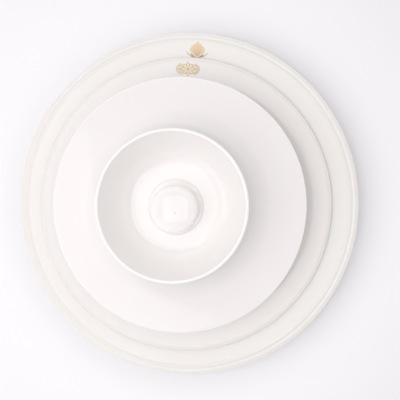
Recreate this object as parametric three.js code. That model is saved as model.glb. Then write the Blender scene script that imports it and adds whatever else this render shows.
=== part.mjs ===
// A covered dish of white glazed hotel porcelain, stacked as it stands on a table.
// A wide under plate with a double bead on its rim carries a dish, the dish carries a bowl, and a domed
// cover closes the bowl. The cover has a standing collar, in which the next bowl's foot can stand, and a
// knob is stuck on in the well inside the collar.
// Millimetres, +Z up. The origin is the centre of the under plate's foot ring, on the table.

import * as THREE from "three";

// How round the solids are: steps in a full turn, and the length of the steps along a curved outline.
const TURN_STEPS = 60;
const KNOB_TURN_STEPS = 36;
const CURVE_STEP = 6;
const LEAST_CURVE_STEPS = 3;

// Each piece rests this far above the one that carries it.
const SEAT_GAP = 0.3;

// The side of every foot ring leans out by this much from the ring's face to the body.
const FOOT_TAPER = 1.2;

// Under plate. The wall's run is its width in plan, between the flat floor and the rim. The beads' width is
// the distance between their crests.
const PLATE_HEIGHT = 22;
const PLATE_THICKNESS = 4.5;
const PLATE_WALL_RUN = 20;
const PLATE_RIM_WIDTH = 37;
const PLATE_RIM_RISE = 2.8;
const PLATE_FOOT_HEIGHT = 3;
const PLATE_FOOT_WIDTH = 4.5;
const BEAD_WIDTH = 3.5;
const BEAD_HEIGHT = 0.4;

// Dish. It is shallow, so its rim lies close above the under plate's.
const DISH_HEIGHT = 17.4;
const DISH_THICKNESS = 4;
const DISH_WALL_RUN = 25.5;
const DISH_RIM_WIDTH = 22.8;
const DISH_RIM_RISE = 1.8;
const DISH_FOOT_HEIGHT = 3.5;
const DISH_FOOT_WIDTH = 4;
const DISH_LIP_WIDTH = 2.8;
const DISH_LIP_HEIGHT = 0.2;

// The dish was set down a little off the under plate's centre, and all that stands on it came with it.
const DISH_OFFSET_X = -0.8;
const DISH_OFFSET_Y = -0.3;

// Flat floor that stays free around the foot of the piece standing there.
const ROOM_ROUND_DISH_FOOT = 11;
const ROOM_ROUND_BOWL_FOOT = 17.5;

// Bowl. Its mouth is upright for a little deeper than the cover's flange reaches.
const BOWL_RADIUS = 91.3;
const BOWL_HEIGHT = 33.7;
const BOWL_WALL = 4;
const BOWL_FLOOR_THICKNESS = 5;
const BOWL_FOOT_RADIUS = 49.5;
const BOWL_FOOT_HEIGHT = 4;
const BOWL_FOOT_WIDTH = 4;

// Cover: its edge overhangs the bowl, and a flange under it drops into the bowl's mouth.
const COVER_OVERHANG = 4.2;
const COVER_HEIGHT = 35.6;
const COVER_THICKNESS = 4.6;
const COVER_EDGE_HEIGHT = 5.3;
const COVER_EDGE_ROLL = 1.4;
const DOME_RISE = 10.5;
const DOME_SWEEP = 19.5;
const FLANGE_CLEARANCE = 1.5;
const FLANGE_DEPTH = 5;
const FLANGE_WIDTH = 3.8;

// Collar and well of the cover. The next bowl's foot stands in the collar with this clearance. The collar is
// narrowest at its waist and flares from there to the lip.
const STACKING_CLEARANCE = 3;
const COLLAR_LIP_WIDTH = 2.6;
const COLLAR_FLARE = 1.2;
const WAIST_HEIGHT = 20;
const WELL_DEPTH = 23.7;
const WELL_FILLET = 2.2;
const ROOM_ROUND_KNOB_FOOT = 9.1;

// Knob, which was set on by hand: it stands a little off the axis and leans the same way.
const KNOB_FOOT_RADIUS = 20.8;
const KNOB_FOOT_THICKNESS = 1;
const KNOB_NECK_RADIUS = 13.2;
const KNOB_NECK_HEIGHT = 5.6;
const KNOB_CAP_RADIUS = 17.4;
const KNOB_CAP_HEIGHT = 10.4;
const KNOB_HEIGHT = 15.7;
const KNOB_OFFSET = 1.1;
const KNOB_LEAN = 0.13;

// Radii that follow from what stands in what.
const dishFloorRadius = BOWL_FOOT_RADIUS + ROOM_ROUND_BOWL_FOOT;
const plateFloorRadius = dishFloorRadius + ROOM_ROUND_DISH_FOOT;
const mouthRadius = BOWL_RADIUS - BOWL_WALL;
const coverRadius = BOWL_RADIUS + COVER_OVERHANG;
const flangeRadius = mouthRadius - FLANGE_CLEARANCE;
const lipInner = BOWL_FOOT_RADIUS + STACKING_CLEARANCE;
const lipOuter = lipInner + COLLAR_LIP_WIDTH;
const wellFloorRadius = KNOB_FOOT_RADIUS + ROOM_ROUND_KNOB_FOOT;

// Heights of the pieces' undersides, from the table up.
const dishBase = PLATE_FOOT_HEIGHT + PLATE_THICKNESS + SEAT_GAP;
const bowlBase = dishBase + DISH_FOOT_HEIGHT + DISH_THICKNESS + SEAT_GAP;
const coverBase = bowlBase + BOWL_HEIGHT + SEAT_GAP;
const wellFloor = COVER_HEIGHT - WELL_DEPTH;
const knobBase = coverBase + wellFloor + SEAT_GAP;

// The points of an outline: the ends of its straight stretches, and even steps along its curves.
function pointsOn(outline) {
  const points = [outline.getPoint(0)];
  for (const curve of outline.curves) {
    const steps = Math.max(LEAST_CURVE_STEPS, Math.round(curve.getLength() / CURVE_STEP));
    points.push(...curve.getPoints(curve.isLineCurve ? 1 : steps).slice(1));
  }
  return points;
}

// An outline runs from the axis under the piece, round its edge, to the axis on top, as radius and height.
function turned(outline, turnSteps = TURN_STEPS) {
  return new THREE.LatheGeometry(pointsOn(outline), turnSteps).rotateX(Math.PI / 2);
}

// Begins an outline with the recess inside a foot ring and the ring itself, of this outer radius.
function footRing(radius, width, height) {
  const outline = new THREE.Path();
  outline.moveTo(0, height);
  outline.lineTo(radius - width - FOOT_TAPER, height);
  outline.lineTo(radius - width, 0);
  outline.lineTo(radius, 0);
  outline.lineTo(radius + FOOT_TAPER, height);
  return outline;
}

// A plate's section: foot ring, flat floor, rounded wall and sloping rim. The function given draws the edge,
// from the rim's underside to its top, outside the radius where the rim ends.
function plate(size, drawEdge) {
  const floor = size.footHeight + size.thickness;
  const shoulder = size.floorRadius + size.wallRun;
  const radius = shoulder + size.rimWidth;
  const rimEnd = radius - size.edgeWidth;
  const rimTop = size.height - size.edgeHeight;
  const shoulderTop = rimTop - size.rimRise;
  const slope = size.rimRise / (rimEnd - shoulder);
  const round = size.thickness / 2;
  const outline = footRing(size.floorRadius, size.footWidth, size.footHeight);
  outline.quadraticCurveTo(
    shoulder + round / 2, size.footHeight,
    shoulder + 1.5 * round, shoulderTop - size.thickness + 1.5 * round * slope,
  );
  outline.lineTo(rimEnd, rimTop - size.thickness);
  drawEdge(outline, radius, rimEnd, rimTop);
  outline.lineTo(shoulder + round, shoulderTop + round * slope);
  outline.quadraticCurveTo(shoulder, shoulderTop, shoulder - round / 2, shoulderTop - round);
  outline.quadraticCurveTo(shoulder - 2 * round, floor, size.floorRadius, floor);
  outline.lineTo(0, floor);
  return turned(outline);
}

function underPlate() {
  const size = {
    floorRadius: plateFloorRadius,
    wallRun: PLATE_WALL_RUN,
    rimWidth: PLATE_RIM_WIDTH,
    rimRise: PLATE_RIM_RISE,
    height: PLATE_HEIGHT,
    thickness: PLATE_THICKNESS,
    footWidth: PLATE_FOOT_WIDTH,
    footHeight: PLATE_FOOT_HEIGHT,
    edgeWidth: 2.4 * BEAD_WIDTH,
    edgeHeight: BEAD_HEIGHT,
  };
  return plate(size, drawBeads);
}

// The outer bead rolls over the edge, and the inner one stands beside it, with a shallow groove between them.
function drawBeads(outline, radius, rimEnd, rimTop) {
  const crest = rimTop + BEAD_HEIGHT;
  const outerCrest = radius - 0.8 * BEAD_WIDTH;
  const innerCrest = outerCrest - BEAD_WIDTH;
  const ease = BEAD_WIDTH / 4;
  outline.quadraticCurveTo(radius, rimTop - PLATE_THICKNESS, radius, rimTop - BEAD_WIDTH / 2);
  outline.quadraticCurveTo(radius, crest, outerCrest, crest);
  outline.quadraticCurveTo(outerCrest - ease, crest, (outerCrest + innerCrest) / 2, rimTop + BEAD_HEIGHT / 2);
  outline.quadraticCurveTo(innerCrest + ease, crest, innerCrest, crest);
  outline.bezierCurveTo(innerCrest - ease, crest, rimEnd + ease, rimTop, rimEnd, rimTop);
}

function dish() {
  const size = {
    floorRadius: dishFloorRadius,
    wallRun: DISH_WALL_RUN,
    rimWidth: DISH_RIM_WIDTH,
    rimRise: DISH_RIM_RISE,
    height: DISH_HEIGHT,
    thickness: DISH_THICKNESS,
    footWidth: DISH_FOOT_WIDTH,
    footHeight: DISH_FOOT_HEIGHT,
    edgeWidth: 2 * DISH_LIP_WIDTH,
    edgeHeight: DISH_LIP_HEIGHT,
  };
  return plate(size, drawLip);
}

// A plain rounded edge. Its crest stands a little above the rim, and it rolls over widely outside that.
function drawLip(outline, radius, rimEnd, rimTop) {
  const crest = rimTop + DISH_LIP_HEIGHT;
  outline.quadraticCurveTo(radius, rimTop - DISH_THICKNESS, radius, crest - DISH_LIP_WIDTH);
  outline.quadraticCurveTo(radius, crest, radius - DISH_LIP_WIDTH, crest);
  outline.lineTo(rimEnd, rimTop);
}

// The bowl's belly is rounded between the foot and the upright mouth, and the wall inside follows it.
function bowl() {
  const floor = BOWL_FOOT_HEIGHT + BOWL_FLOOR_THICKNESS;
  const lipRound = BOWL_WALL / 2;
  const mouthTop = BOWL_HEIGHT - lipRound;
  const mouthFoot = BOWL_HEIGHT - FLANGE_DEPTH - lipRound;
  const belly = BOWL_RADIUS - BOWL_FOOT_RADIUS;
  const outline = footRing(BOWL_FOOT_RADIUS, BOWL_FOOT_WIDTH, BOWL_FOOT_HEIGHT);
  outline.bezierCurveTo(
    BOWL_RADIUS - belly / 2, BOWL_FOOT_HEIGHT + BOWL_FLOOR_THICKNESS / 2,
    BOWL_RADIUS - BOWL_WALL / 2, mouthFoot / 2,
    BOWL_RADIUS, mouthFoot,
  );
  outline.lineTo(BOWL_RADIUS, mouthTop);
  outline.quadraticCurveTo(BOWL_RADIUS, BOWL_HEIGHT, BOWL_RADIUS - lipRound, BOWL_HEIGHT);
  outline.quadraticCurveTo(mouthRadius, BOWL_HEIGHT, mouthRadius, mouthTop);
  outline.lineTo(mouthRadius, mouthFoot);
  outline.bezierCurveTo(
    mouthRadius - BOWL_WALL / 2, (mouthFoot + floor) / 2,
    mouthRadius - belly / 2, floor + BOWL_FLOOR_THICKNESS / 3,
    BOWL_FOOT_RADIUS - BOWL_FOOT_WIDTH, floor,
  );
  outline.lineTo(0, floor);
  return turned(outline);
}

// The cover's underside follows its top: it is hollow behind the collar and under the dome.
function cover() {
  const ceiling = wellFloor - COVER_THICKNESS;
  const waist = lipOuter - COLLAR_FLARE;
  const outline = new THREE.Path();
  outline.moveTo(0, ceiling);
  outline.lineTo(wellFloorRadius, ceiling);
  drawHollow(outline, waist, ceiling);
  drawFlange(outline);
  drawDome(outline, waist);
  drawCollar(outline);
  drawWell(outline);
  return turned(outline);
}

// The underside between the well's floor and the flange, with its highest line behind the collar.
function drawHollow(outline, waist, ceiling) {
  const peakRadius = waist - 1.2 * COVER_THICKNESS;
  const peak = WAIST_HEIGHT - 0.7 * COVER_THICKNESS;
  const domeCeiling = DOME_RISE - 1.3 * COVER_THICKNESS;
  const flangeInner = flangeRadius - FLANGE_WIDTH;
  const wallRun = peakRadius - wellFloorRadius;
  outline.bezierCurveTo(
    peakRadius - wallRun / 2, ceiling,
    peakRadius - wallRun / 3, peak,
    peakRadius, peak,
  );
  outline.bezierCurveTo(
    peakRadius, DOME_RISE - COVER_THICKNESS,
    peakRadius + DOME_SWEEP, domeCeiling,
    flangeInner, domeCeiling / 2,
  );
}

// The flange hangs inside the bowl's mouth, and the flat land outside it rests on the bowl.
function drawFlange(outline) {
  const round = FLANGE_WIDTH / 2;
  const flangeInner = flangeRadius - FLANGE_WIDTH;
  outline.lineTo(flangeInner, round - FLANGE_DEPTH);
  outline.quadraticCurveTo(flangeInner, -FLANGE_DEPTH, flangeInner + round, -FLANGE_DEPTH);
  outline.quadraticCurveTo(flangeRadius, -FLANGE_DEPTH, flangeRadius, round - FLANGE_DEPTH);
  outline.lineTo(flangeRadius, 0);
}

// The edge is round below and has a tight roll on top. The low dome sweeps up into the collar's waist.
function drawDome(outline, waist) {
  const round = COVER_THICKNESS / 2;
  const rollTop = COVER_EDGE_HEIGHT + COVER_EDGE_ROLL / 8;
  outline.lineTo(coverRadius - round, 0);
  outline.quadraticCurveTo(coverRadius, 0, coverRadius, round);
  outline.lineTo(coverRadius, COVER_EDGE_HEIGHT - COVER_EDGE_ROLL);
  outline.quadraticCurveTo(coverRadius, COVER_EDGE_HEIGHT, coverRadius - COVER_EDGE_ROLL, rollTop);
  outline.bezierCurveTo(
    waist + DOME_SWEEP, DOME_RISE - round,
    waist, DOME_RISE,
    waist, WAIST_HEIGHT,
  );
}

// Above the waist the collar stands nearly upright, and it ends in a thin round lip.
function drawCollar(outline) {
  const lipRound = COLLAR_LIP_WIDTH / 2;
  const lipFoot = COVER_HEIGHT - lipRound;
  outline.quadraticCurveTo(lipOuter - COLLAR_FLARE, (WAIST_HEIGHT + COVER_HEIGHT) / 2, lipOuter, lipFoot);
  outline.quadraticCurveTo(lipOuter, COVER_HEIGHT, lipOuter - lipRound, COVER_HEIGHT);
  outline.quadraticCurveTo(lipInner, COVER_HEIGHT, lipInner, lipFoot);
}

// The well is a bowl that gets steeper towards the lip. A tight fillet joins its wall to the flat floor.
function drawWell(outline) {
  const wallFoot = wellFloorRadius + WELL_FILLET;
  const wallRun = lipInner - wallFoot;
  const filletRise = WELL_FILLET / 3;
  outline.bezierCurveTo(
    lipInner - wallRun / 4, wellFloor + WELL_DEPTH / 2,
    wallFoot + wallRun / 3, wellFloor + WELL_DEPTH / 8,
    wallFoot, wellFloor + filletRise,
  );
  outline.quadraticCurveTo(wellFloorRadius + WELL_FILLET / 3, wellFloor, wellFloorRadius, wellFloor);
  outline.lineTo(0, wellFloor);
}

// A flared foot, a neck for the fingertips and a mushroom cap. The lean moves each level sideways, so the
// foot stays flat on the well's floor.
function coverKnob() {
  const capUnder = (KNOB_NECK_HEIGHT + KNOB_CAP_HEIGHT) / 2;
  const capTop = (KNOB_CAP_HEIGHT + KNOB_HEIGHT) / 2;
  const outline = new THREE.Path();
  outline.moveTo(0, 0);
  outline.lineTo(KNOB_FOOT_RADIUS, 0);
  outline.lineTo(KNOB_FOOT_RADIUS, KNOB_FOOT_THICKNESS / 2);
  outline.quadraticCurveTo(KNOB_NECK_RADIUS, KNOB_FOOT_THICKNESS, KNOB_NECK_RADIUS, KNOB_NECK_HEIGHT);
  outline.quadraticCurveTo(KNOB_NECK_RADIUS, capUnder, (KNOB_NECK_RADIUS + KNOB_CAP_RADIUS) / 2, capUnder);
  outline.quadraticCurveTo(KNOB_CAP_RADIUS, capUnder, KNOB_CAP_RADIUS, KNOB_CAP_HEIGHT);
  outline.quadraticCurveTo(KNOB_CAP_RADIUS, capTop, KNOB_CAP_RADIUS * 0.8, (capTop + KNOB_HEIGHT) / 2);
  outline.quadraticCurveTo(KNOB_CAP_RADIUS / 2, KNOB_HEIGHT, 0, KNOB_HEIGHT);
  const lean = new THREE.Matrix4().makeShear(0, 0, 0, 0, 0, -KNOB_LEAN);
  return turned(outline, KNOB_TURN_STEPS).applyMatrix4(lean);
}

function glazed(color) {
  return new THREE.MeshStandardMaterial({ color, roughness: 0.12, metalness: 0 });
}

function piece(name, geometry, material, x, y, z) {
  const mesh = new THREE.Mesh(geometry, material);
  mesh.name = name;
  mesh.position.set(x, y, z);
  return mesh;
}

const warmWhite = 0xefece6;
const coolWhite = 0xf4f1f1;

const coveredDish = new THREE.Group();
coveredDish.add(
  piece("under_plate", underPlate(), glazed(warmWhite), 0, 0, 0),
  piece("dish", dish(), glazed(warmWhite), DISH_OFFSET_X, DISH_OFFSET_Y, dishBase),
  piece("bowl", bowl(), glazed(coolWhite), DISH_OFFSET_X, DISH_OFFSET_Y, bowlBase),
  piece("cover", cover(), glazed(coolWhite), DISH_OFFSET_X, DISH_OFFSET_Y, coverBase),
  piece("cover_knob", coverKnob(), glazed(coolWhite), DISH_OFFSET_X, DISH_OFFSET_Y - KNOB_OFFSET, knobBase),
);

export default coveredDish;
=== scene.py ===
import math

import bpy
from mathutils import Matrix, Vector


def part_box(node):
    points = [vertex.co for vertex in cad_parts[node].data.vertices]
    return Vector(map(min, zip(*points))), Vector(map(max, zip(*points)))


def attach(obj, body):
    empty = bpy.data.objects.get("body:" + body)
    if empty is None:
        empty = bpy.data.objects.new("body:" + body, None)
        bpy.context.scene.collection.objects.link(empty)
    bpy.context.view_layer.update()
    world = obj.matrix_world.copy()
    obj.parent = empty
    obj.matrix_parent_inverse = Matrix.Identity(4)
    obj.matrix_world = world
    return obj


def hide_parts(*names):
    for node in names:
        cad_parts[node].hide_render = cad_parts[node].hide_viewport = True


# A covered dish of white glazed hotel porcelain: fine surfaces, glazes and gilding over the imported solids.
# Sizes are in millimetres, as on a drawing, and MM turns them into Blender's metres.

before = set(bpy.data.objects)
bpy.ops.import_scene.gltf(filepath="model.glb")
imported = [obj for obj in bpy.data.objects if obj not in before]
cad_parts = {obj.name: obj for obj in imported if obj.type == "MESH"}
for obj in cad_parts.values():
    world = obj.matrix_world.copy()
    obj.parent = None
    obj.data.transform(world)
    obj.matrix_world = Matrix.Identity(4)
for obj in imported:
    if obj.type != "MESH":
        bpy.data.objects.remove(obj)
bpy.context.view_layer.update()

MM = 0.001

# How fine the turned surfaces are.
TURN_STEPS = 256
CURVE_STEP = 0.9
LEAST_CURVE_STEPS = 8

# Foot rings.
FOOT_TAPER = 1.2
FOOT_FILLET = 1.2

# Under plate.
PLATE_THICKNESS = 4.5
PLATE_WALL_RUN = 20
PLATE_RIM_WIDTH = 37
PLATE_RIM_RISE = 2.8
PLATE_FOOT_HEIGHT = 3
PLATE_FOOT_WIDTH = 4.5
BEAD_WIDTH = 3.5
BEAD_HEIGHT = 0.4

# Dish.
DISH_THICKNESS = 4
DISH_WALL_RUN = 25.5
DISH_RIM_WIDTH = 22.8
DISH_RIM_RISE = 1.8
DISH_FOOT_HEIGHT = 3.5
DISH_FOOT_WIDTH = 4
DISH_LIP_WIDTH = 2.8
DISH_LIP_HEIGHT = 0.2

# Bowl.
BOWL_WALL = 4
BOWL_FLOOR_THICKNESS = 5
BOWL_FOOT_RADIUS = 49.5
BOWL_FOOT_HEIGHT = 4
BOWL_FOOT_WIDTH = 4

# Cover. The well's wall rises from its floor in a wide sweep, whose handle lies these shares of the way out
# and up.
COVER_THICKNESS = 4.6
COVER_EDGE_HEIGHT = 5.3
COVER_EDGE_ROLL = 1.4
DOME_RISE = 10.5
DOME_SWEEP = 19.5
FLANGE_CLEARANCE = 1.5
FLANGE_DEPTH = 5
FLANGE_WIDTH = 3.8
STACKING_CLEARANCE = 3
COLLAR_LIP_WIDTH = 2.6
COLLAR_FLARE = 1.2
WAIST_HEIGHT = 20
WELL_DEPTH = 23.7
WELL_FILLET = 2.2
WELL_FLOOR_RADIUS = 29.9
WELL_SWEEP_OUT = 0.46
WELL_SWEEP_UP = 1 / 17

# Knob.
KNOB_FOOT_THICKNESS = 1
KNOB_NECK_RADIUS = 13.2
KNOB_NECK_HEIGHT = 5.6
KNOB_CAP_RADIUS = 17.4
KNOB_CAP_HEIGHT = 10.4
KNOB_LEAN = 0.13
SLIP_DEPTH = 0.28

# Painted shade on the cover: its darker second colour is strongest round the waist, where the dome meets the
# collar, over this width. On the dome and at the top of the well's wall it is this share of the strongest,
# and on the wall it begins this far outside the floor.
PAINTED_SHADE_WIDTH = 26
DOME_PAINTED_SHADE = 0.33
WALL_PAINTED_SHADE = 0.48
WALL_PAINTED_SHADE_START = 6

# Flaws of the knob's glaze: a lump on the foot, as its place, radius and height, and a dark iron speck on the
# cap, as its place and radius.
LUMP = (15.3, 8.9, 1.1, 0.4)
SPECK = (1.7, -1.9, 0.42)

# The slight warp that the kiln gave the rims: how far they wave up and down, and where the waves begin.
PLATE_WARP = (0.3, (0.4, 2.1))
DISH_WARP = (0.25, (1.9, 0.3))

# Where the ornaments lie: radius, and degrees from +X.
PLATE_ORNAMENT_PLACE = (120.0, 85.2)
DISH_ORNAMENT_PLACE = (106.0, 87.9)

# Glazes: the colour on open ground, the second colour, which is painted shade in hollows and on the cover
# (partly glaze that pools in the hollows) and painted light on the knob, the colour where it drew thin over
# an edge, and a number that gives each glaze clouds and specks of its own.
GLAZES = {
    "plate_glaze": ((0.8, 0.768, 0.747), (0.75, 0.72, 0.7), (0.83, 0.8, 0.78), 0.31),
    "dish_glaze": ((0.806, 0.773, 0.758), (0.755, 0.725, 0.71), (0.83, 0.8, 0.785), 1.27),
    "bowl_glaze": ((0.86, 0.82, 0.818), (0.81, 0.77, 0.77), (0.86, 0.83, 0.83), 2.43),
    "cover_glaze": ((0.91, 0.873, 0.867), (0.775, 0.74, 0.735), (0.87, 0.84, 0.835), 3.59),
    # The knob's glaze is a darker copy of the cover's, painted shade that holds down its highlight, and its
    # paler second colour is painted light.
    "knob_shaded_glaze": ((0.83, 0.79, 0.785), (0.93, 0.9, 0.895), (0.86, 0.825, 0.82), 4.71),
}

# Golds: two colours that mix in the brush strokes.
GOLDS = {
    "pale_gold": ((0.7, 0.55, 0.37), (0.61, 0.46, 0.31)),
    "worn_gold": ((0.78, 0.67, 0.5), (0.7, 0.57, 0.41)),
    "dark_gold": ((0.36, 0.27, 0.16), (0.25, 0.18, 0.11)),
}
GOLD_METALLIC = 0.25

# The gold stands this far above the glaze, each stroke a little higher than the one before it, and its sides
# reach this far into the glaze.
GILT_LIFT = 0.05
STROKE_LIFT = 0.002
GILT_SINK = 0.1

# The two golds of an ornament, and how far a dark outline shows round a pale leaf.
PALE = 0
DARK = 1
GILT_OUTLINE = 0.3

# The camera looks almost straight down, from a little to the right of the stack. Metres, and the lens in
# millimetres.
EYE = Vector((0.0813, 0.0113, 0.596))
TARGET = Vector((0.0157, 0.0035, 0.05))
LENS = 66.2

# The floor, with painted light and shade: its colour at the left, painted lit, at the right, painted shade as
# if the light fell off, and near the stack, painted light that lifts the stack's shadow, and where they run
# over, in metres.
FLOOR_HALF = 2.5
FLOOR_DROP = 0.0002
FLOOR_PAINTED_LIT_LEFT = (0.875, 0.85, 0.885)
FLOOR_PAINTED_SHADE_RIGHT = (0.83, 0.808, 0.84)
FLOOR_PAINTED_LIGHT_NEAR = (0.92, 0.9, 0.93)
FLOOR_PAINTED_SHADE_SPAN = (-0.15, 0.2)
FLOOR_PAINTED_LIGHT_SPAN = (0.14, 0.22)

# The light tent: how bright it is at each sine of the height above the horizon, all round and then only
# behind the stack.
TENT_BRIGHTNESS = 1.2
TENT_AROUND = ((0.3, 0.7), (0.5, 0.94), (0.68, 0.4), (1.0, 0.26))
TENT_BEHIND = ((0.5, 0.0), (0.68, 0.9), (0.85, 0.0))

# Soft boxes: azimuth from +X and elevation in degrees, width in metres, watts.
SOFT_BOX_DISTANCE = 1.7
SOFT_BOXES = {
    "overhead": (180, 86, 0.9, 5.8),
    "left": (204, 55, 1.6, 7.6),
}


def extent(node):
    """The middle of a node's underside, its outer radius and its height, all in millimetres."""
    low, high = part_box(node)
    seat = Vector(((low.x + high.x) / 2, (low.y + high.y) / 2, low.z)) / MM
    return seat, (high.x - low.x) / 2 / MM, (high.z - low.z) / MM


PLATE_SEAT, PLATE_RADIUS, PLATE_HEIGHT = extent("under_plate")
DISH_SEAT, DISH_RADIUS, DISH_HEIGHT = extent("dish")
BOWL_SEAT, BOWL_RADIUS, BOWL_HEIGHT = extent("bowl")
COVER_LOW, COVER_RADIUS, COVER_OVERALL = extent("cover")
KNOB_SEAT, KNOB_FOOT_RADIUS, KNOB_HEIGHT = extent("cover_knob")
COVER_SEAT = COVER_LOW + Vector((0, 0, FLANGE_DEPTH))
COVER_HEIGHT = COVER_OVERALL - FLANGE_DEPTH


# Camera

def add_camera():
    data = bpy.data.cameras.new("camera")
    data.lens = LENS
    data.sensor_width = 36
    camera = bpy.data.objects.new("camera", data)
    back = (EYE - TARGET).normalized()
    right = Vector((0, 1, 0)).cross(back).normalized()
    up = back.cross(right)
    turn = Matrix((right, up, back)).transposed()
    camera.matrix_world = Matrix.Translation(EYE) @ turn.to_4x4()
    bpy.context.scene.collection.objects.link(camera)
    bpy.context.scene.camera = camera


# Outlines and turned surfaces

class Outline:
    """A turned piece's section as radius and height. It runs from the axis underneath, round the edge, to the
    axis on top. Stretches drawn while bare is true are left without glaze."""

    def __init__(self, radius, height):
        self.points = [(radius, height)]
        self.bare_spans = [False]
        self.bare = False

    def add(self, radius, height):
        self.points.append((radius, height))
        self.bare_spans.append(self.bare)

    def line(self, radius, height, steps=1):
        start = self.points[-1]
        for i in range(1, steps + 1):
            t = i / steps
            self.add(start[0] + (radius - start[0]) * t, start[1] + (height - start[1]) * t)

    def curve(self, *numbers):
        """A quadratic or cubic Bezier curve, given as radius and height of its handles and its end."""
        knots = [self.points[-1]] + list(zip(numbers[::2], numbers[1::2]))
        length = sum(math.dist(a, b) for a, b in zip(knots, knots[1:]))
        steps = max(LEAST_CURVE_STEPS, round(length / CURVE_STEP))
        for i in range(1, steps + 1):
            level = knots
            t = i / steps
            while len(level) > 1:
                level = [
                    (a[0] + (b[0] - a[0]) * t, a[1] + (b[1] - a[1]) * t)
                    for a, b in zip(level, level[1:])
                ]
            self.add(*level[0])

    def top_height(self, radius):
        """Height of the upper surface at a radius."""
        best = None
        for (r0, z0), (r1, z1) in zip(self.points, self.points[1:]):
            if min(r0, r1) <= radius <= max(r0, r1) and r0 != r1:
                z = z0 + (z1 - z0) * (radius - r0) / (r1 - r0)
                best = z if best is None else max(best, z)
        return best


def bend_of(points, reach=1.4):
    """Curvature of the section at each point, per millimetre, measured over a short reach.
    It is positive on an edge and negative in a hollow."""
    along = [0.0]
    for a, b in zip(points, points[1:]):
        along.append(along[-1] + math.dist(a, b))

    def at(distance):
        distance = min(max(distance, 0), along[-1])
        i = 0
        while i < len(along) - 2 and along[i + 1] < distance:
            i += 1
        span = along[i + 1] - along[i] or 1
        t = (distance - along[i]) / span
        a, b = points[i], points[i + 1]
        return a[0] + (b[0] - a[0]) * t, a[1] + (b[1] - a[1]) * t

    bends = []
    for s in along:
        if s < reach or s > along[-1] - reach:
            bends.append(0.0)
            continue
        before, here, after = at(s - reach), at(s), at(s + reach)
        turn_in = math.atan2(here[1] - before[1], here[0] - before[0])
        turn_out = math.atan2(after[1] - here[1], after[0] - here[0])
        bends.append(math.remainder(turn_out - turn_in, 2 * math.pi) / reach)
    return bends


def turned(name, outline, seat, shift=None, shade=None):
    """The surface of revolution of an outline, standing on its seat. shift moves each point a little, and
    shade says how far the glaze takes its second colour at a radius and height, from 0 to 1: painted shade
    on the cover and painted light on the knob."""
    rings = []
    verts = []
    for radius, height in outline.points:
        count = 1 if radius < 1e-6 else TURN_STEPS
        rings.append((len(verts), count))
        for step in range(count):
            angle = 2 * math.pi * step / TURN_STEPS
            point = Vector((radius * math.cos(angle), radius * math.sin(angle), height))
            if shift:
                point = shift(point, radius, angle)
            verts.append((point + seat) * MM)
    faces = []
    bare = []
    for i in range(len(rings) - 1):
        (low, low_count), (high, high_count) = rings[i], rings[i + 1]
        for step in range(TURN_STEPS):
            following = (step + 1) % TURN_STEPS
            if low_count == 1:
                face = (low, high + following, high + step)
            elif high_count == 1:
                face = (low + step, low + following, high)
            else:
                face = (low + step, low + following, high + following, high + step)
            faces.append(face)
            bare.append(outline.bare_spans[i + 1])
    mesh = bpy.data.meshes.new(name)
    mesh.from_pydata([tuple(v) for v in verts], [], faces)
    mesh.polygons.foreach_set("use_smooth", [True] * len(faces))
    mesh.polygons.foreach_set("material_index", [1 if b else 0 for b in bare])
    set_values(mesh, "bend", rings, bend_of(outline.points))
    if shade:
        set_values(mesh, "shade", rings, [shade(*point) for point in outline.points])
    mesh.update()
    piece = bpy.data.objects.new(name, mesh)
    bpy.context.scene.collection.objects.link(piece)
    return piece


def set_values(mesh, name, rings, values):
    """Stores one value for each ring of points of a turned surface."""
    attribute = mesh.attributes.new(name, "FLOAT", "POINT")
    spread = []
    for (_, count), value in zip(rings, values):
        spread.extend([value] * count)
    attribute.data.foreach_set("value", spread)


def wavering(rim_radius, amount, phases):
    """A kiln's slight warp: the rim waves up and down by this amount, and the middle stays flat."""
    def shift(point, radius, angle):
        share = max(0, radius / rim_radius - 0.55) / 0.45
        wave = 0.6 * math.sin(2 * angle + phases[0]) + 0.4 * math.sin(3 * angle + phases[1])
        point.z += amount * wave * share * share
        return point
    return shift


# Sections of the pieces

def foot_ring(radius, width, height):
    """Begins an outline with the recess in a foot ring and the ring, whose ground face has no glaze."""
    inner = radius - width
    edge = 0.6
    outline = Outline(0, height)
    outline.line(inner - FOOT_TAPER - FOOT_FILLET, height, 6)
    outline.curve(inner - FOOT_TAPER, height, inner - 0.6 * FOOT_TAPER, 0.6 * height)
    outline.line(inner - 0.2 * FOOT_TAPER, 0.2 * height)
    outline.bare = True
    outline.curve(inner, 0, inner + edge, 0)
    outline.line(radius - edge, 0)
    outline.curve(radius, 0, radius + 0.2 * FOOT_TAPER, 0.2 * height)
    outline.bare = False
    outline.line(radius + 0.6 * FOOT_TAPER, 0.6 * height)
    outline.curve(radius + FOOT_TAPER, height, radius + FOOT_TAPER + FOOT_FILLET, height)
    return outline


def plate_outline(size, draw_edge):
    floor = size["foot_height"] + size["thickness"]
    shoulder = size["floor_radius"] + size["wall_run"]
    rim_end = size["radius"] - size["edge_width"]
    rim_top = size["height"] - size["edge_height"]
    shoulder_top = rim_top - size["rim_rise"]
    slope = size["rim_rise"] / (rim_end - shoulder)
    half = size["thickness"] / 2
    outline = foot_ring(size["floor_radius"], size["foot_width"], size["foot_height"])
    outline.curve(
        shoulder + half / 2, size["foot_height"],
        shoulder + 1.5 * half, shoulder_top - size["thickness"] + 1.5 * half * slope,
    )
    outline.line(rim_end, rim_top - size["thickness"], 12)
    draw_edge(outline, size["radius"], rim_end, rim_top)
    outline.line(shoulder + half, shoulder_top + half * slope, 12)
    outline.curve(shoulder, shoulder_top, shoulder - half / 2, shoulder_top - half)
    outline.curve(shoulder - 2 * half, floor, size["floor_radius"], floor)
    outline.line(0, floor, 10)
    return outline


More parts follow.
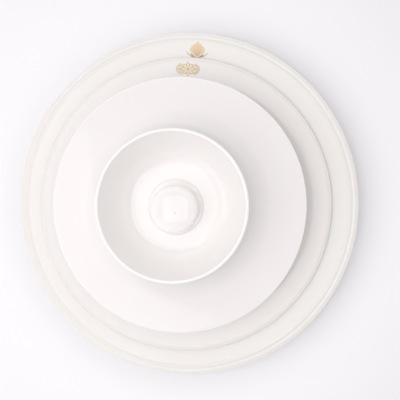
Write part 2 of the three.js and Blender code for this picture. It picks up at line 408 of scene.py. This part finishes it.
def draw_beads(outline, radius, rim_end, rim_top):
    """The outer bead rolls over the edge. The inner one stands beside it, with a shallow groove between."""
    crest = rim_top + BEAD_HEIGHT
    outer_crest = radius - 0.8 * BEAD_WIDTH
    inner_crest = outer_crest - BEAD_WIDTH
    groove = (outer_crest + inner_crest) / 2
    ease = BEAD_WIDTH / 4
    low = rim_top + BEAD_HEIGHT / 2
    outline.curve(radius, rim_top - PLATE_THICKNESS, radius, rim_top - BEAD_WIDTH / 2)
    outline.curve(radius, crest, outer_crest, crest)
    outline.curve(outer_crest - ease, crest, groove + ease / 2, low, groove, low)
    outline.curve(groove - ease / 2, low, inner_crest + ease, crest, inner_crest, crest)
    outline.curve(inner_crest - ease, crest, rim_end + ease, rim_top, rim_end, rim_top)


def draw_lip(outline, radius, rim_end, rim_top):
    """A plain rounded edge. Its crest stands a little above the rim, and it rolls over widely from there."""
    crest = rim_top + DISH_LIP_HEIGHT
    middle = radius - DISH_LIP_WIDTH
    outline.curve(radius, rim_top - DISH_THICKNESS, radius, crest - DISH_LIP_WIDTH)
    outline.curve(radius, crest, middle, crest)
    outline.curve(middle - DISH_LIP_WIDTH / 2, crest, rim_end + DISH_LIP_WIDTH / 4, rim_top, rim_end, rim_top)


def under_plate_outline():
    return plate_outline({
        "radius": PLATE_RADIUS,
        "floor_radius": PLATE_RADIUS - PLATE_RIM_WIDTH - PLATE_WALL_RUN,
        "wall_run": PLATE_WALL_RUN,
        "rim_rise": PLATE_RIM_RISE,
        "height": PLATE_HEIGHT,
        "thickness": PLATE_THICKNESS,
        "foot_width": PLATE_FOOT_WIDTH,
        "foot_height": PLATE_FOOT_HEIGHT,
        "edge_width": 2.4 * BEAD_WIDTH,
        "edge_height": BEAD_HEIGHT,
    }, draw_beads)


def dish_outline():
    return plate_outline({
        "radius": DISH_RADIUS,
        "floor_radius": DISH_RADIUS - DISH_RIM_WIDTH - DISH_WALL_RUN,
        "wall_run": DISH_WALL_RUN,
        "rim_rise": DISH_RIM_RISE,
        "height": DISH_HEIGHT,
        "thickness": DISH_THICKNESS,
        "foot_width": DISH_FOOT_WIDTH,
        "foot_height": DISH_FOOT_HEIGHT,
        "edge_width": 2 * DISH_LIP_WIDTH,
        "edge_height": DISH_LIP_HEIGHT,
    }, draw_lip)


def bowl_outline():
    floor = BOWL_FOOT_HEIGHT + BOWL_FLOOR_THICKNESS
    lip_round = BOWL_WALL / 2
    mouth = BOWL_RADIUS - BOWL_WALL
    mouth_top = BOWL_HEIGHT - lip_round
    mouth_foot = BOWL_HEIGHT - FLANGE_DEPTH - lip_round
    belly = BOWL_RADIUS - BOWL_FOOT_RADIUS
    outline = foot_ring(BOWL_FOOT_RADIUS, BOWL_FOOT_WIDTH, BOWL_FOOT_HEIGHT)
    outline.curve(
        BOWL_RADIUS - belly / 2, BOWL_FOOT_HEIGHT + BOWL_FLOOR_THICKNESS / 2,
        BOWL_RADIUS - BOWL_WALL / 2, mouth_foot / 2,
        BOWL_RADIUS, mouth_foot,
    )
    outline.line(BOWL_RADIUS, mouth_top, 3)
    outline.curve(BOWL_RADIUS, BOWL_HEIGHT, BOWL_RADIUS - lip_round, BOWL_HEIGHT)
    outline.curve(mouth, BOWL_HEIGHT, mouth, mouth_top)
    outline.line(mouth, mouth_foot, 3)
    outline.curve(
        mouth - BOWL_WALL / 2, (mouth_foot + floor) / 2,
        mouth - belly / 2, floor + BOWL_FLOOR_THICKNESS / 3,
        BOWL_FOOT_RADIUS - BOWL_FOOT_WIDTH, floor,
    )
    outline.line(0, floor, 8)
    return outline


def cover_outline():
    """The cover's underside follows its top: it is hollow behind the collar and under the dome."""
    well_floor = COVER_HEIGHT - WELL_DEPTH
    ceiling = well_floor - COVER_THICKNESS
    lip_inner = BOWL_FOOT_RADIUS + STACKING_CLEARANCE
    lip_outer = lip_inner + COLLAR_LIP_WIDTH
    waist = lip_outer - COLLAR_FLARE
    flange_radius = BOWL_RADIUS - BOWL_WALL - FLANGE_CLEARANCE
    flange_inner = flange_radius - FLANGE_WIDTH

    # Underside, from the well's floor to the flange.
    peak_radius = waist - 1.2 * COVER_THICKNESS
    peak = WAIST_HEIGHT - 0.7 * COVER_THICKNESS
    dome_ceiling = DOME_RISE - 1.3 * COVER_THICKNESS
    wall_run = peak_radius - WELL_FLOOR_RADIUS
    outline = Outline(0, ceiling)
    outline.line(WELL_FLOOR_RADIUS, ceiling, 6)
    outline.curve(
        peak_radius - wall_run / 2, ceiling,
        peak_radius - wall_run / 3, peak,
        peak_radius, peak,
    )
    outline.curve(
        peak_radius, DOME_RISE - COVER_THICKNESS,
        peak_radius + DOME_SWEEP, dome_ceiling,
        flange_inner, dome_ceiling / 2,
    )

    # Flange and land.
    round_end = FLANGE_WIDTH / 2
    outline.line(flange_inner, round_end - FLANGE_DEPTH, 4)
    outline.bare = True
    outline.curve(flange_inner, -FLANGE_DEPTH, flange_inner + round_end, -FLANGE_DEPTH)
    outline.curve(flange_radius, -FLANGE_DEPTH, flange_radius, round_end - FLANGE_DEPTH)
    outline.bare = False
    outline.line(flange_radius, -0.5)
    outline.curve(flange_radius, 0, flange_radius + 0.5, 0)

    # Edge and dome.
    edge_round = COVER_THICKNESS / 2
    outline.line(COVER_RADIUS - edge_round, 0, 3)
    outline.curve(COVER_RADIUS, 0, COVER_RADIUS, edge_round)
    outline.line(COVER_RADIUS, COVER_EDGE_HEIGHT - COVER_EDGE_ROLL)
    outline.curve(
        COVER_RADIUS, COVER_EDGE_HEIGHT,
        COVER_RADIUS - COVER_EDGE_ROLL, COVER_EDGE_HEIGHT + COVER_EDGE_ROLL / 8,
    )
    outline.curve(
        waist + DOME_SWEEP, DOME_RISE - edge_round,
        waist, DOME_RISE,
        waist, WAIST_HEIGHT,
    )

    # Collar.
    lip_round = COLLAR_LIP_WIDTH / 2
    lip_foot = COVER_HEIGHT - lip_round
    outline.curve(waist, (WAIST_HEIGHT + COVER_HEIGHT) / 2, lip_outer, lip_foot)
    outline.curve(lip_outer, COVER_HEIGHT, lip_outer - lip_round, COVER_HEIGHT)
    outline.curve(lip_inner, COVER_HEIGHT, lip_inner, lip_foot)

    # Well.
    wall_foot = WELL_FLOOR_RADIUS + WELL_FILLET
    well_run = lip_inner - wall_foot
    outline.curve(
        lip_inner - well_run / 4, well_floor + WELL_DEPTH / 2,
        wall_foot + well_run * WELL_SWEEP_OUT, well_floor + WELL_DEPTH * WELL_SWEEP_UP,
        wall_foot, well_floor + WELL_FILLET / 7,
    )
    outline.curve(
        WELL_FLOOR_RADIUS + WELL_FILLET / 3, well_floor,
        WELL_FLOOR_RADIUS, well_floor,
    )
    outline.line(0, well_floor, 6)
    return outline


def knob_outline():
    """The slip that holds the knob runs out under its foot, down to the well's floor."""
    cap_under = (KNOB_NECK_HEIGHT + KNOB_CAP_HEIGHT) / 2
    cap_top = (KNOB_CAP_HEIGHT + KNOB_HEIGHT) / 2
    outline = Outline(0, -SLIP_DEPTH)
    outline.line(KNOB_FOOT_RADIUS - 0.1, -SLIP_DEPTH, 5)
    outline.curve(
        KNOB_FOOT_RADIUS, -SLIP_DEPTH,
        KNOB_FOOT_RADIUS - 0.2, 0,
        KNOB_FOOT_RADIUS - 0.9, KNOB_FOOT_THICKNESS * 0.2,
    )
    outline.curve(
        KNOB_NECK_RADIUS, KNOB_FOOT_THICKNESS * 0.7,
        KNOB_NECK_RADIUS, KNOB_NECK_HEIGHT,
    )
    outline.curve(
        KNOB_NECK_RADIUS, cap_under,
        (KNOB_NECK_RADIUS + KNOB_CAP_RADIUS) / 2, cap_under,
    )
    outline.curve(KNOB_CAP_RADIUS, cap_under, KNOB_CAP_RADIUS, KNOB_CAP_HEIGHT)
    outline.curve(
        KNOB_CAP_RADIUS, cap_top,
        KNOB_CAP_RADIUS * 0.8, (cap_top + KNOB_HEIGHT) / 2,
    )
    outline.curve(KNOB_CAP_RADIUS / 2, KNOB_HEIGHT, 0, KNOB_HEIGHT)
    return outline


# Painted shade and painted light in the glaze

def painted_shade_on_cover(radius, height):
    """Painted shade: the well's floor and the lip keep the glaze's first colour, and its darker second colour
    is painted up the wall, and most where the dome meets the collar."""
    lip_inner = BOWL_FOOT_RADIUS + STACKING_CLEARANCE
    waist = lip_inner + COLLAR_LIP_WIDTH - COLLAR_FLARE
    away = (radius - waist) / PAINTED_SHADE_WIDTH
    if height > COVER_HEIGHT - COLLAR_LIP_WIDTH / 2:
        return 0
    if 0 < away and height < WAIST_HEIGHT:
        return max(DOME_PAINTED_SHADE, (1 - min(1, away * away)) ** 2)
    wall_start = WELL_FLOOR_RADIUS + WALL_PAINTED_SHADE_START
    return WALL_PAINTED_SHADE * min(1, max(0, (radius - wall_start) / (lip_inner - wall_start)))


def painted_light_on_knob(radius, height):
    """Painted light: the knob's paler second colour lies on the cap's shoulder, the neck and the foot, to
    lift their shade.
    """
    shoulder = 0.6 * min(1, max(0, radius / KNOB_CAP_RADIUS - 0.5) / 0.35)
    return 1 if height < KNOB_NECK_HEIGHT else shoulder


# The knob's flaws

def hand_set(point, radius, angle):
    """The knob was set by hand: it leans, isn't quite round and has a lump of glaze on its foot."""
    out_of_round = 1 + 0.008 * math.sin(2 * angle + 0.7) * min(1, radius / KNOB_NECK_RADIUS)
    if radius < KNOB_FOOT_RADIUS - 1:
        point.x *= out_of_round
        point.y *= out_of_round
    point.y -= KNOB_LEAN * point.z
    if 0 < point.z < KNOB_NECK_HEIGHT:
        point.z += swelling(point, LUMP)
    return point


def swelling(point, spot):
    x, y, radius, height = spot
    distance = math.hypot(point.x - x, point.y - y) / radius
    return height * math.exp(-distance * distance)


def knob_speck(outline, material):
    """A thin dark disc in the glaze of the cap."""
    x, y, size = SPECK
    sides = 12
    verts = []
    for lift in (0.02, -0.1):
        for step in range(sides):
            angle = 2 * math.pi * step / sides
            px, py = x + size * math.cos(angle), y + size * math.sin(angle)
            height = outline.top_height(math.hypot(px, py)) + lift
            verts.append((hand_set(Vector((px, py, height)), math.hypot(px, py), 0) + KNOB_SEAT) * MM)
    faces = [tuple(range(sides)), tuple(range(2 * sides - 1, sides - 1, -1))]
    for step in range(sides):
        following = (step + 1) % sides
        faces.append((step, sides + step, sides + following, following))
    mesh = bpy.data.meshes.new("knob_speck")
    mesh.from_pydata([tuple(v) for v in verts], [], faces)
    mesh.materials.append(material)
    mesh.update()
    speck = bpy.data.objects.new("knob_speck", mesh)
    bpy.context.scene.collection.objects.link(speck)
    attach(speck, "cover")


# Materials

def new_material(name):
    material = bpy.data.materials.new(name)
    material.use_nodes = True
    nodes = material.node_tree.nodes
    shader = nodes["Principled BSDF"]
    return material, nodes, material.node_tree.links, shader


def noise(nodes, links, coordinates, scale, detail=2.0, roughness=0.5, distortion=0.0):
    node = nodes.new("ShaderNodeTexNoise")
    node.inputs["Scale"].default_value = scale
    node.inputs["Detail"].default_value = detail
    node.inputs["Roughness"].default_value = roughness
    node.inputs["Distortion"].default_value = distortion
    links.new(coordinates, node.inputs["Vector"])
    return node.outputs["Fac"]


def ranged(nodes, links, source, from_low, from_high, to_low, to_high):
    node = nodes.new("ShaderNodeMapRange")
    node.inputs["From Min"].default_value = from_low
    node.inputs["From Max"].default_value = from_high
    node.inputs["To Min"].default_value = to_low
    node.inputs["To Max"].default_value = to_high
    links.new(source, node.inputs["Value"])
    return node.outputs["Result"]


def combined(nodes, links, operation, first, second):
    """Two values joined by arithmetic. The second may be a number."""
    node = nodes.new("ShaderNodeMath")
    node.operation = operation
    links.new(first, node.inputs[0])
    if isinstance(second, (int, float)):
        node.inputs[1].default_value = second
    else:
        links.new(second, node.inputs[1])
    return node.outputs["Value"]


def tinted(nodes, links, share, under, over):
    """Mixes two colours, each of which is a colour or a socket."""
    node = nodes.new("ShaderNodeMix")
    node.data_type = "RGBA"
    for socket, value in (("A", under), ("B", over)):
        target = next(s for s in node.inputs if s.name == socket and s.type == "RGBA")
        if isinstance(value, tuple):
            target.default_value = (*value, 1)
        else:
            links.new(value, target)
    links.new(share, node.inputs["Factor"])
    return next(s for s in node.outputs if s.type == "RGBA")


def glaze(name):
    """Clear gloss glaze. Its second colour is painted shade in sharp hollows, partly also glaze that pools
    there, and lies wherever a piece's shade says so. On the knob that colour is paler and is painted light.
    It has a third colour where it drew thin over an edge. It has faint clouds, a soft ripple, a few iron
    specks and the dull hairlines of use."""
    body, second, thin, seed = GLAZES[name]
    material, nodes, links, shader = new_material(name)
    place = nodes.new("ShaderNodeTexCoord")
    mapping = nodes.new("ShaderNodeMapping")
    mapping.inputs["Location"].default_value = (seed, seed * 0.7, -seed)
    links.new(place.outputs["Object"], mapping.inputs["Vector"])
    shifted = mapping.outputs["Vector"]

    bend = nodes.new("ShaderNodeAttribute")
    bend.attribute_name = "bend"
    shade = nodes.new("ShaderNodeAttribute")
    shade.attribute_name = "shade"
    # The second colour's share: painted shade in sharp hollows, partly glaze pooled there, joined with the
    # piece's shade attribute. On the knob the second colour is paler, so there it is painted light.
    hollow = ranged(nodes, links, bend.outputs["Fac"], -0.5, -1.5, 0.0, 1.0)
    hollow = combined(nodes, links, "MAXIMUM", hollow, shade.outputs["Fac"])
    edge = ranged(nodes, links, bend.outputs["Fac"], 0.15, 0.9, 0.0, 1.0)

    clouds = ranged(nodes, links, noise(nodes, links, shifted, 22, 3.0), 0.35, 0.65, 0.0, 1.0)
    clouded = tuple(value * share for value, share in zip(body, (0.992, 0.988, 0.98)))
    colour = tinted(nodes, links, clouds, body, clouded)
    colour = tinted(nodes, links, hollow, colour, second)
    colour = tinted(nodes, links, edge, colour, thin)

    specks = nodes.new("ShaderNodeTexVoronoi")
    specks.inputs["Scale"].default_value = 55
    links.new(shifted, specks.inputs["Vector"])
    near_speck = ranged(nodes, links, specks.outputs["Distance"], 0.018, 0.010, 0.0, 1.0)
    chosen = ranged(nodes, links, noise(nodes, links, shifted, 31), 0.62, 0.66, 0.0, 0.55)
    speck = combined(nodes, links, "MULTIPLY", near_speck, chosen)
    colour = tinted(nodes, links, speck, colour, (0.35, 0.27, 0.2))
    links.new(colour, shader.inputs["Base Color"])

    scratches = noise(nodes, links, shifted, 160, 4.0, 0.6, 1.5)
    wear = ranged(nodes, links, scratches, 0.45, 0.75, 0.07, 0.16)
    links.new(wear, shader.inputs["Roughness"])
    shader.inputs["IOR"].default_value = 1.52

    ripple = nodes.new("ShaderNodeBump")
    ripple.inputs["Strength"].default_value = 0.22
    ripple.inputs["Distance"].default_value = 0.0004
    links.new(noise(nodes, links, shifted, 95, 1.5), ripple.inputs["Height"])
    fine = nodes.new("ShaderNodeBump")
    fine.inputs["Strength"].default_value = 0.06
    fine.inputs["Distance"].default_value = 0.0001
    links.new(noise(nodes, links, shifted, 900), fine.inputs["Height"])
    links.new(ripple.outputs["Normal"], fine.inputs["Normal"])
    links.new(fine.outputs["Normal"], shader.inputs["Normal"])
    return material


def bare_porcelain():
    """The ground foot: dull, fine-grained and a little grey from the tables it has stood on."""
    material, nodes, links, shader = new_material("bare_porcelain")
    place = nodes.new("ShaderNodeTexCoord")
    grain = noise(nodes, links, place.outputs["Object"], 2600, 3.0)
    stains = noise(nodes, links, place.outputs["Object"], 70, 4.0, 0.65)
    share = ranged(nodes, links, stains, 0.4, 0.7, 0.0, 1.0)
    colour = tinted(nodes, links, share, (0.78, 0.75, 0.7), (0.6, 0.57, 0.52))
    links.new(colour, shader.inputs["Base Color"])
    shader.inputs["Roughness"].default_value = 0.75
    bump = nodes.new("ShaderNodeBump")
    bump.inputs["Strength"].default_value = 0.35
    bump.inputs["Distance"].default_value = 0.00015
    links.new(grain, bump.inputs["Height"])
    links.new(bump.outputs["Normal"], shader.inputs["Normal"])
    return material


def iron_speck():
    """A fleck of iron that burned out through the glaze."""
    material, nodes, links, shader = new_material("iron_speck")
    place = nodes.new("ShaderNodeTexCoord")
    mottle = noise(nodes, links, place.outputs["Object"], 3000)
    colour = tinted(nodes, links, mottle, (0.3, 0.22, 0.18), (0.5, 0.42, 0.38))
    links.new(colour, shader.inputs["Base Color"])
    shader.inputs["Roughness"].default_value = 0.3
    return material


def gilding(name):
    """Thin gold fired on the glaze: brushed, half dull and half bright, and only partly metallic."""
    light, dark = GOLDS[name]
    material, nodes, links, shader = new_material(name)
    place = nodes.new("ShaderNodeTexCoord")
    strokes = noise(nodes, links, place.outputs["Object"], 1400, 3.0, 0.6)
    share = ranged(nodes, links, strokes, 0.35, 0.7, 0.0, 1.0)
    colour = tinted(nodes, links, share, light, dark)
    links.new(colour, shader.inputs["Base Color"])
    shader.inputs["Metallic"].default_value = GOLD_METALLIC
    rough = ranged(nodes, links, strokes, 0.3, 0.7, 0.3, 0.5)
    links.new(rough, shader.inputs["Roughness"])
    bump = nodes.new("ShaderNodeBump")
    bump.inputs["Strength"].default_value = 0.15
    bump.inputs["Distance"].default_value = 0.00005
    links.new(strokes, bump.inputs["Height"])
    links.new(bump.outputs["Normal"], shader.inputs["Normal"])
    return material


# Gilt ornaments

class Ornament:
    """Gilt strokes on a rim. Each is a ribbon: points across and out along the rim, and half widths."""

    def __init__(self, name, outline, seat, shift, place):
        self.name = name
        self.outline = outline
        self.seat = seat
        self.shift = shift
        self.radius = place[0]
        self.angle = math.radians(place[1])
        self.lift = GILT_LIFT
        self.verts = []
        self.faces = []
        self.tones = []

    def on_rim(self, across, out, lift):
        """A point on the rim. The ornament stands upright to someone at the far side of the plate."""
        radius = self.radius + out
        angle = self.angle - across / self.radius
        height = self.outline.top_height(radius) + lift
        point = Vector((radius * math.cos(angle), radius * math.sin(angle), height))
        return (self.shift(point, radius, angle) + self.seat) * MM

    def ribbon(self, tone, points, half_widths):
        first = len(self.verts)
        self.lift += STROKE_LIFT
        for i, ((x, y), half) in enumerate(zip(points, half_widths)):
            before = points[max(i - 1, 0)]
            after = points[min(i + 1, len(points) - 1)]
            dx, dy = after[0] - before[0], after[1] - before[1]
            length = math.hypot(dx, dy)
            nx, ny = -dy / length * half, dx / length * half
            for side, lift in ((1, self.lift), (-1, self.lift), (-1, -GILT_SINK), (1, -GILT_SINK)):
                self.verts.append(self.on_rim(x + nx * side, y + ny * side, lift))
        for i in range(len(points) - 1):
            a = first + 4 * i
            for k in range(4):
                self.faces.append((a + k, a + (k + 1) % 4, a + 4 + (k + 1) % 4, a + 4 + k))
        last = first + 4 * (len(points) - 1)
        self.faces.append((first + 3, first + 2, first + 1, first))
        self.faces.append((last, last + 1, last + 2, last + 3))
        self.tones.extend([tone] * (len(self.faces) - len(self.tones)))

    def leaf(self, tone, x, y, direction, length, width, curl=0.0, fullness=0.8):
        """A pointed leaf from its foot at x, y. The direction is in degrees from across, and it curls on the
        way. Above a fullness of 1 it is widest beyond its middle."""
        points = []
        halves = []
        steps = 12
        for i in range(steps + 1):
            t = i / steps
            points.append((x, y))
            halves.append(max(0.02, width / 2 * math.sin(math.pi * t ** fullness)))
            turn = math.radians(direction + curl * t)
            x += math.cos(turn) * length / steps
            y += math.sin(turn) * length / steps
        self.ribbon(tone, points, halves)

    def outlined_leaf(self, x, y, direction, length, width, fullness=0.8):
        self.leaf(DARK, x, y, direction, length + GILT_OUTLINE, width + 2 * GILT_OUTLINE, 0, fullness)
        self.leaf(PALE, x, y, direction, length, width, 0, fullness)

    def dot(self, tone, x, y, size):
        steps = 8
        points = []
        halves = []
        for i in range(steps + 1):
            t = math.pi * i / steps
            points.append((x - size / 2 * math.cos(t), y))
            halves.append(max(0.02, size / 2 * math.sin(t)))
        self.ribbon(tone, points, halves)

    def stem(self, tone, x, y, direction, length, width, curl):
        """A thin line that bends evenly and ends in a point."""
        points = []
        halves = []
        steps = 18
        for i in range(steps + 1):
            t = i / steps
            points.append((x, y))
            halves.append(width / 2 * (1 - 0.7 * t))
            turn = math.radians(direction + curl * t)
            x += math.cos(turn) * length / steps
            y += math.sin(turn) * length / steps
        self.ribbon(tone, points, halves)

    def finish(self, body, slot, *golds):
        mesh = bpy.data.meshes.new(self.name)
        mesh.from_pydata([tuple(v) for v in self.verts], [], self.faces)
        for gold in golds:
            mesh.materials.append(gold)
        mesh.polygons.foreach_set("material_index", self.tones)
        mesh.update()
        piece = bpy.data.objects.new(self.name, mesh)
        bpy.context.scene.collection.objects.link(piece)
        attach(piece, body)


def plate_ornament(outline, shift, *golds):
    """A full shell of broad leaves, with dark grooves between them, over two curling stems."""
    ornament = Ornament("plate_shell", outline, PLATE_SEAT, shift, PLATE_ORNAMENT_PLACE)
    foot = -4.0
    for side in (-1, 1):
        ornament.stem(DARK, side * 0.6, foot, 90 - side * 98, 9.5, 0.85, side * 75)
        ornament.leaf(DARK, side * 2.4, foot + 0.2, 90 - side * 62, 4.2, 1.0, side * 30)
    for step in (3, 2, 1, 0):
        for side in (-1, 1) if step else (1,):
            slant = 90 - side * step * 10
            ornament.leaf(PALE, side * step * 0.5, foot, slant, 12.2 - step * 1.3, 3.0, 0, 1.7)
    for step in (0.5, 1.5, 2.5):
        for side in (-1, 1):
            slant = 90 - side * step * 10
            ornament.stem(DARK, side * step * 0.5, foot + 0.6, slant, 8.6 - step, 0.3, 0)
    ornament.dot(PALE, 0, foot - 0.2, 2.6)
    ornament.finish("under_plate", "gilt", *golds)


def dish_ornament(outline, shift, *golds):
    """A rosette of outlined petals between two sprigs of outlined leaves that lie along the rim."""
    ornament = Ornament("dish_rosette", outline, DISH_SEAT, shift, DISH_ORNAMENT_PLACE)
    for side in (-1, 1):
        outwards = 90 - side * 90
        ornament.stem(DARK, side * 3.6, 0, outwards, 5.2, 0.7, 0)
        for step in range(3):
            for lift in (-1, 1):
                slant = 90 - side * (90 - lift * (66 - 6 * step))
                ornament.outlined_leaf(side * (4.3 + 1.4 * step), lift * 0.2, slant, 4.6 - 1.1 * step, 1.5)
        ornament.outlined_leaf(side * 7.9, 0, outwards, 1.4, 0.9)
    petals = 8
    for i in range(petals):
        direction = 360 * i / petals
        turn = math.radians(direction)
        ornament.outlined_leaf(math.cos(turn) * 0.8, math.sin(turn) * 0.8, direction, 4.4, 1.9, 1.2)
    ornament.dot(DARK, 0, 0, 1.9)
    ornament.dot(PALE, 0, 0, 0.9)
    ornament.finish("dish", "gilt", *golds)


# The pieces

def dress(piece, node, body, slot, *materials):
    for material in materials:
        piece.data.materials.append(material)
    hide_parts(node)
    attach(piece, body)


def add_pieces():
    bare = bare_porcelain()
    plate_glaze, dish_glaze, bowl_glaze, cover_glaze, knob_shaded_glaze = [glaze(name) for name in GLAZES]
    pale_gold, worn_gold, dark_gold = [gilding(name) for name in GOLDS]

    plate_section = under_plate_outline()
    plate_shift = wavering(PLATE_RADIUS, *PLATE_WARP)
    plate = turned("plate_surface", plate_section, PLATE_SEAT, plate_shift)
    dress(plate, "under_plate", "under_plate", "plate_glaze", plate_glaze, bare)
    plate_ornament(plate_section, plate_shift, pale_gold, dark_gold)

    dish_section = dish_outline()
    dish_shift = wavering(DISH_RADIUS, *DISH_WARP)
    dish = turned("dish_surface", dish_section, DISH_SEAT, dish_shift)
    dress(dish, "dish", "dish", "dish_glaze", dish_glaze, bare)
    dish_ornament(dish_section, dish_shift, worn_gold, dark_gold)

    bowl = turned("bowl_surface", bowl_outline(), BOWL_SEAT)
    dress(bowl, "bowl", "bowl", "bowl_glaze", bowl_glaze, bare)

    # The cover's shade attribute is painted shade up the well's wall and round the waist.
    cover = turned("cover_surface", cover_outline(), COVER_SEAT, shade=painted_shade_on_cover)
    dress(cover, "cover", "cover", "cover_glaze", cover_glaze, bare)

    knob_section = knob_outline()
    # The knob's shade attribute is painted light on the cap's shoulder, the neck and the foot.
    knob = turned("knob_surface", knob_section, KNOB_SEAT, hand_set, painted_light_on_knob)
    dress(knob, "cover_knob", "cover", "cover_glaze", knob_shaded_glaze)
    knob_speck(knob_section, iron_speck())


# Floor and light

def add_floor():
    corners = [(-1, -1), (1, -1), (1, 1), (-1, 1)]
    mesh = bpy.data.meshes.new("floor")
    mesh.from_pydata([(x * FLOOR_HALF, y * FLOOR_HALF, -FLOOR_DROP) for x, y in corners], [], [(0, 1, 2, 3)])
    floor = bpy.data.objects.new("floor", mesh)
    bpy.context.scene.collection.objects.link(floor)
    material, nodes, links, shader = new_material("floor")
    place = nodes.new("ShaderNodeTexCoord")
    across = nodes.new("ShaderNodeSeparateXYZ")
    links.new(place.outputs["Object"], across.inputs["Vector"])
    away = nodes.new("ShaderNodeVectorMath")
    away.operation = "LENGTH"
    links.new(place.outputs["Object"], away.inputs[0])
    # Painted shade darkens the floor towards the right, and painted light makes it paler near the stack,
    # against the stack's shadow.
    painted_shade_to_right = ranged(nodes, links, across.outputs["X"], *FLOOR_PAINTED_SHADE_SPAN, 0.0, 1.0)
    painted_light_near = ranged(nodes, links, away.outputs["Value"], *FLOOR_PAINTED_LIGHT_SPAN, 1.0, 0.0)
    colour = tinted(nodes, links, painted_shade_to_right, FLOOR_PAINTED_LIT_LEFT, FLOOR_PAINTED_SHADE_RIGHT)
    colour = tinted(nodes, links, painted_light_near, colour, FLOOR_PAINTED_LIGHT_NEAR)
    links.new(colour, shader.inputs["Base Color"])
    shader.inputs["Roughness"].default_value = 0.6
    mesh.materials.append(material)


def add_soft_box(name, azimuth, elevation, width, watts):
    data = bpy.data.lights.new(name, "AREA")
    data.shape = "SQUARE"
    data.size = width
    data.energy = watts
    lamp = bpy.data.objects.new(name, data)
    across, up = math.radians(azimuth), math.radians(elevation)
    towards = Vector((math.cos(across) * math.cos(up), math.sin(across) * math.cos(up), math.sin(up)))
    lamp.location = towards * SOFT_BOX_DISTANCE
    lamp.rotation_euler = towards.to_track_quat("Z", "Y").to_euler()
    lamp.visible_camera = False
    bpy.context.scene.collection.objects.link(lamp)


def grey_ramp(nodes, links, source, stops):
    node = nodes.new("ShaderNodeValToRGB")
    elements = node.color_ramp.elements
    while len(elements) < len(stops):
        elements.new(0.5)
    for element, (position, value) in zip(elements, stops):
        element.position = position
        element.color = (value, value, value, 1)
    links.new(source, node.inputs["Fac"])
    return node.outputs["Color"]


def add_world():
    """A light tent: a bright band a third of the way up, and a higher one behind the stack."""
    world = bpy.data.worlds.new("studio")
    bpy.context.scene.world = world
    world.use_nodes = True
    nodes, links = world.node_tree.nodes, world.node_tree.links
    place = nodes.new("ShaderNodeTexCoord")
    direction = nodes.new("ShaderNodeSeparateXYZ")
    links.new(place.outputs["Generated"], direction.inputs["Vector"])
    around = grey_ramp(nodes, links, direction.outputs["Z"], TENT_AROUND)
    behind = grey_ramp(nodes, links, direction.outputs["Z"], TENT_BEHIND)
    towards_back = ranged(nodes, links, direction.outputs["Y"], -1.0, 1.0, 0.0, 1.0)
    behind = combined(nodes, links, "MULTIPLY", behind, towards_back)
    level = combined(nodes, links, "ADD", around, behind)
    level = combined(nodes, links, "MULTIPLY", level, TENT_BRIGHTNESS)
    background = nodes["Background"]
    background.inputs["Color"].default_value = (1, 1, 1, 1)
    links.new(level, background.inputs["Strength"])


def add_studio():
    add_floor()
    add_world()
    for name, (azimuth, elevation, width, watts) in SOFT_BOXES.items():
        add_soft_box(name, azimuth, elevation, width, watts)
    bpy.context.scene.view_settings.view_transform = "Standard"


add_camera()
add_pieces()
add_studio()
